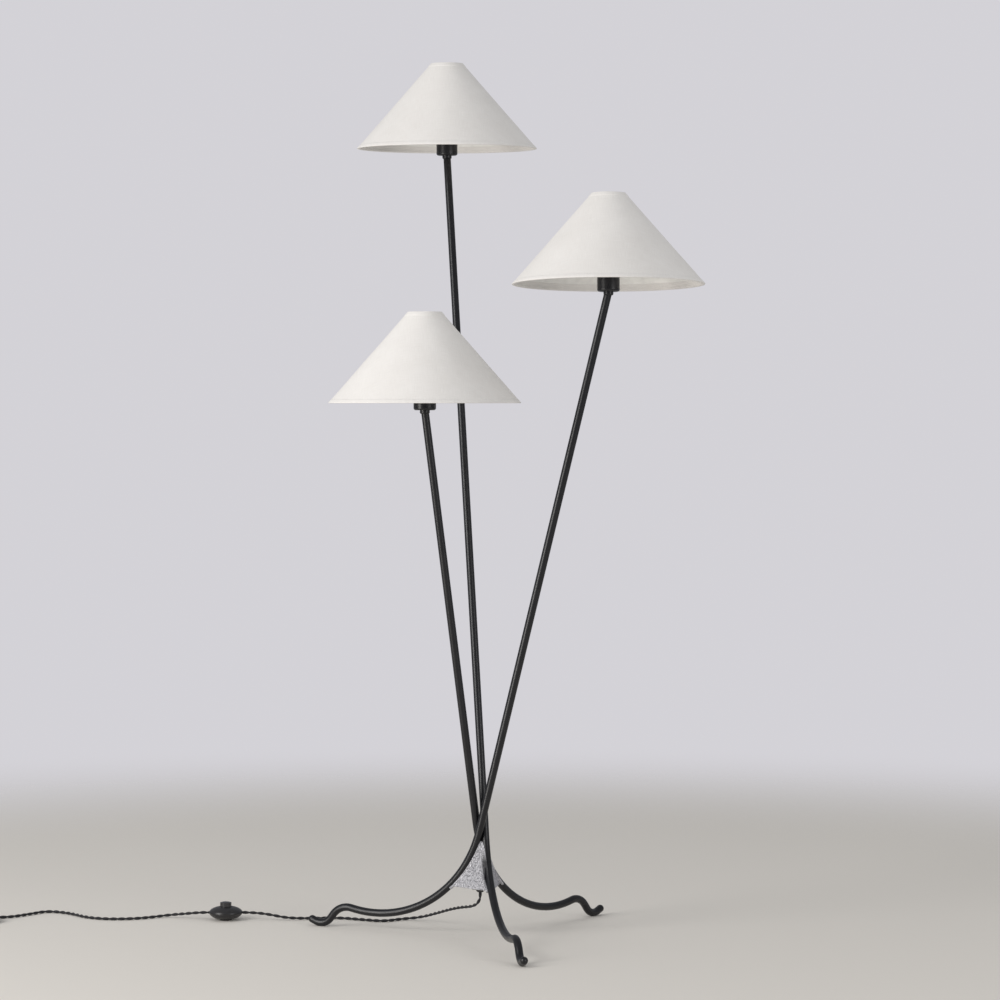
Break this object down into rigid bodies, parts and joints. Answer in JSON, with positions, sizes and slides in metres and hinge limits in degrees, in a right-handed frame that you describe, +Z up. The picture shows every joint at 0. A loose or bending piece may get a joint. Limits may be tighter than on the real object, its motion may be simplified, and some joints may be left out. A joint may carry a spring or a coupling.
{
  "type": "tree floor lamp",
  "caption": "Tree floor lamp: slim black tubes cross as a twisted tripod and carry linen cone shades at staggered heights, with a cord-mounted foot switch.",
  "frame": {"origin": "the floor point under the crossing of the three tubes", "axes": "+Z up, -Y towards the front, +X to the right seen from the front"},
  "size_m": [1.4049, 0.87, 1.6085],
  "materials": {
    "black_iron": "satin black powder coat with a fine texture",
    "brass": "plain brass",
    "bulb_white": "frosted white glass",
    "cap_metal": "rolled thread shell",
    "cord_cloth": "black braided cloth over a twisted pair",
    "hub_grey": "coarse hammered grey paint over sand-cast looking plate",
    "lead_white": "white insulation",
    "linen": "off-white linen on a stiff backing",
    "phenolic": "moulded black phenolic",
    "plug_black": "matt black moulding",
    "rubber": "soft black rubber",
    "steel": "zinc plated steel",
    "switch_black": "satin black moulding",
    "white_wire": "white enamelled wire"
  },
  "bodies": {
    "root": {"tall_lower_tube": "black_iron", "tall_upper_tube": "black_iron", "tall_ferrule": "black_iron", "tall_cup": "black_iron", "tall_lampholder": "phenolic", "tall_bulb_glass": "bulb_white", "tall_shade_fitter": "white_wire", "tall_rim_wire": "white_wire", "tall_shade_skin": "linen", "low_lower_tube": "black_iron", "low_upper_tube": "black_iron", "low_ferrule": "black_iron", "low_cup": "black_iron", "low_lampholder": "phenolic", "low_bulb_glass": "bulb_white", "low_shade_fitter": "white_wire", "low_rim_wire": "white_wire", "low_shade_skin": "linen", "mid_lower_tube": "black_iron", "mid_upper_tube": "black_iron", "mid_ferrule": "black_iron", "mid_cup": "black_iron", "mid_lampholder": "phenolic", "mid_bulb_glass": "bulb_white", "mid_shade_fitter": "white_wire", "mid_rim_wire": "white_wire", "mid_shade_skin": "linen", "tube_couplers": "steel", "foot_caps": "black_iron", "hub_plate_left": "hub_grey", "hub_plate_right": "hub_grey", "hub_plate_back": "hub_grey", "hub_base_cover": "black_iron", "cover_lugs": "steel", "cover_screws": "steel", "cord_gland": "plug_black", "gland_nut": "steel", "terminal_block": "phenolic", "inner_leads": "lead_white", "socket_nipples": "steel", "socket_locknuts": "steel", "screw_shells": "brass", "centre_contacts": "brass", "shade_ring_nuts": "phenolic", "bulb_caps": "cap_metal", "switch_base": "switch_black", "switch_cover": "switch_black", "switch_pad": "rubber", "switch_screws": "steel", "contact_block": "phenolic", "switch_terminals": "brass", "switch_spring": "steel", "cord_hub_to_switch": "cord_cloth", "cord_switch_to_coil": "cord_cloth", "cord_coil": "cord_cloth", "cord_coil_to_plug": "cord_cloth", "plug_body": "plug_black", "plug_blades": "brass"},
    "button": {"switch_button": "switch_black", "contact_bridge": "brass"}
  },
  "joints": [
    {"name": "switch_press", "type": "slide", "parent": "root", "child": "button", "axis": [0, 0, -1], "range_m": [0, 0.0035], "stiffness_N_per_m": 900, "springref_m": -0.002, "deforming": ["switch_spring"]}
  ]
}
